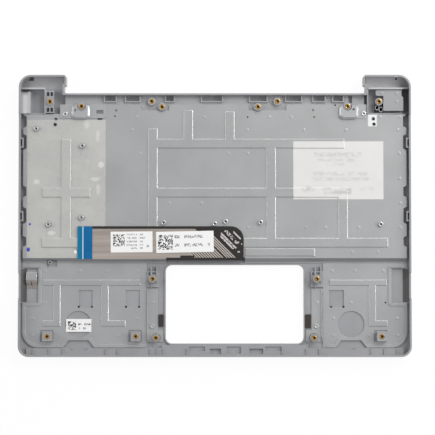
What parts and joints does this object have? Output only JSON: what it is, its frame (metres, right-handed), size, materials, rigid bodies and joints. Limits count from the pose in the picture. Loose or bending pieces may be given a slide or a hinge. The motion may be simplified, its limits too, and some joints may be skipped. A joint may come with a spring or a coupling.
{
  "type": "laptop palm rest",
  "caption": "Upper cover of a small laptop with its keyboard: moulded cover, pressed steel plates, screw inserts, touchpad window and keys that travel.",
  "frame": {"origin": "middle of the bounding box, on the user face's plane", "axes": "+X along the width, +Y towards the hinge edge, +Z from the user face to the inside"},
  "size_m": [0.29, 0.2082, 0.009],
  "materials": {
    "cover_plastic": "moulded silver-grey plastic",
    "bezel_plastic": "dark moulded plastic",
    "key_plastic": "fine matt keycap texture",
    "plate_steel": "zinc-coated sheet, fine grain",
    "bracket_steel": "zinc-coated drawn sheet",
    "bright_steel": "bright turned steel",
    "spring_steel": "bright spring strip",
    "insert_brass": "turned brass",
    "foam": "dark closed-cell foam",
    "clear_film": "thin milky insulation film",
    "flex_film": "printed polyester film",
    "stiffener_blue": "blue stiffener tape",
    "label_paper": "white label stock"
  },
  "bodies": {
    "cover": {"palm_rest_shell": "cover_plastic", "keyboard_bezel": "bezel_plastic", "membrane_with_like_keys": "key_plastic", "keyboard_back_plate": "plate_steel", "left_palm_plate": "plate_steel", "right_palm_plate": "plate_steel", "left_hinge_bracket": "bracket_steel", "right_hinge_bracket": "bracket_steel", "hinge_rivets": "bright_steel", "right_corner_plate": "plate_steel", "left_touchpad_bracket": "plate_steel", "right_touchpad_bracket": "plate_steel", "bracket_screws": "bright_steel", "screw_inserts": "insert_brass", "plate_studs": "bright_steel", "port_ground_spring": "spring_steel", "left_foam_block": "foam", "right_foam_block": "foam", "insulation_film": "clear_film", "keyboard_flex_tail": "flex_film", "flex_stiffener": "stiffener_blue", "flex_label_left": "label_paper", "flex_label_right": "label_paper", "large_label": "label_paper", "palm_label": "label_paper"},
    "backspace_cap": {"backspace_key": "key_plastic"},
    "tab_cap": {"tab_key": "key_plastic"},
    "search_cap": {"search_key": "key_plastic"},
    "enter_cap": {"enter_key": "key_plastic"},
    "left_shift_cap": {"left_shift_key": "key_plastic"},
    "right_shift_cap": {"right_shift_key": "key_plastic"},
    "left_control_cap": {"left_control_key": "key_plastic"},
    "left_alt_cap": {"left_alt_key": "key_plastic"},
    "space_cap": {"space_bar": "key_plastic"},
    "right_alt_cap": {"right_alt_key": "key_plastic"},
    "right_control_cap": {"right_control_key": "key_plastic"},
    "arrow_left_cap": {"arrow_left_key": "key_plastic"},
    "arrow_up_cap": {"arrow_up_key": "key_plastic"},
    "arrow_down_cap": {"arrow_down_key": "key_plastic"},
    "arrow_right_cap": {"arrow_right_key": "key_plastic"}
  },
  "joints": [
    {"name": "backspace_press", "type": "slide", "parent": "cover", "child": "backspace_cap", "axis": [0, 0, 1], "range_m": [0, 0.0013], "stiffness_N_per_m": 300, "springref_m": -0.0005},
    {"name": "tab_press", "type": "slide", "parent": "cover", "child": "tab_cap", "axis": [0, 0, 1], "range_m": [0, 0.0013], "stiffness_N_per_m": 300, "springref_m": -0.0005},
    {"name": "search_press", "type": "slide", "parent": "cover", "child": "search_cap", "axis": [0, 0, 1], "range_m": [0, 0.0013], "stiffness_N_per_m": 300, "springref_m": -0.0005},
    {"name": "enter_press", "type": "slide", "parent": "cover", "child": "enter_cap", "axis": [0, 0, 1], "range_m": [0, 0.0013], "stiffness_N_per_m": 300, "springref_m": -0.0005},
    {"name": "left_shift_press", "type": "slide", "parent": "cover", "child": "left_shift_cap", "axis": [0, 0, 1], "range_m": [0, 0.0013], "stiffness_N_per_m": 300, "springref_m": -0.0005},
    {"name": "right_shift_press", "type": "slide", "parent": "cover", "child": "right_shift_cap", "axis": [0, 0, 1], "range_m": [0, 0.0013], "stiffness_N_per_m": 300, "springref_m": -0.0005},
    {"name": "left_control_press", "type": "slide", "parent": "cover", "child": "left_control_cap", "axis": [0, 0, 1], "range_m": [0, 0.0013], "stiffness_N_per_m": 300, "springref_m": -0.0005},
    {"name": "left_alt_press", "type": "slide", "parent": "cover", "child": "left_alt_cap", "axis": [0, 0, 1], "range_m": [0, 0.0013], "stiffness_N_per_m": 300, "springref_m": -0.0005},
    {"name": "space_bar_press", "type": "slide", "parent": "cover", "child": "space_cap", "axis": [0, 0, 1], "range_m": [0, 0.0013], "stiffness_N_per_m": 300, "springref_m": -0.0005},
    {"name": "right_alt_press", "type": "slide", "parent": "cover", "child": "right_alt_cap", "axis": [0, 0, 1], "range_m": [0, 0.0013], "stiffness_N_per_m": 300, "springref_m": -0.0005},
    {"name": "right_control_press", "type": "slide", "parent": "cover", "child": "right_control_cap", "axis": [0, 0, 1], "range_m": [0, 0.0013], "stiffness_N_per_m": 300, "springref_m": -0.0005},
    {"name": "arrow_left_press", "type": "slide", "parent": "cover", "child": "arrow_left_cap", "axis": [0, 0, 1], "range_m": [0, 0.0013], "stiffness_N_per_m": 300, "springref_m": -0.0005},
    {"name": "arrow_up_press", "type": "slide", "parent": "cover", "child": "arrow_up_cap", "axis": [0, 0, 1], "range_m": [0, 0.0013], "stiffness_N_per_m": 300, "springref_m": -0.0005},
    {"name": "arrow_down_press", "type": "slide", "parent": "cover", "child": "arrow_down_cap", "axis": [0, 0, 1], "range_m": [0, 0.0013], "stiffness_N_per_m": 300, "springref_m": -0.0005},
    {"name": "arrow_right_press", "type": "slide", "parent": "cover", "child": "arrow_right_cap", "axis": [0, 0, 1], "range_m": [0, 0.0013], "stiffness_N_per_m": 300, "springref_m": -0.0005}
  ]
}
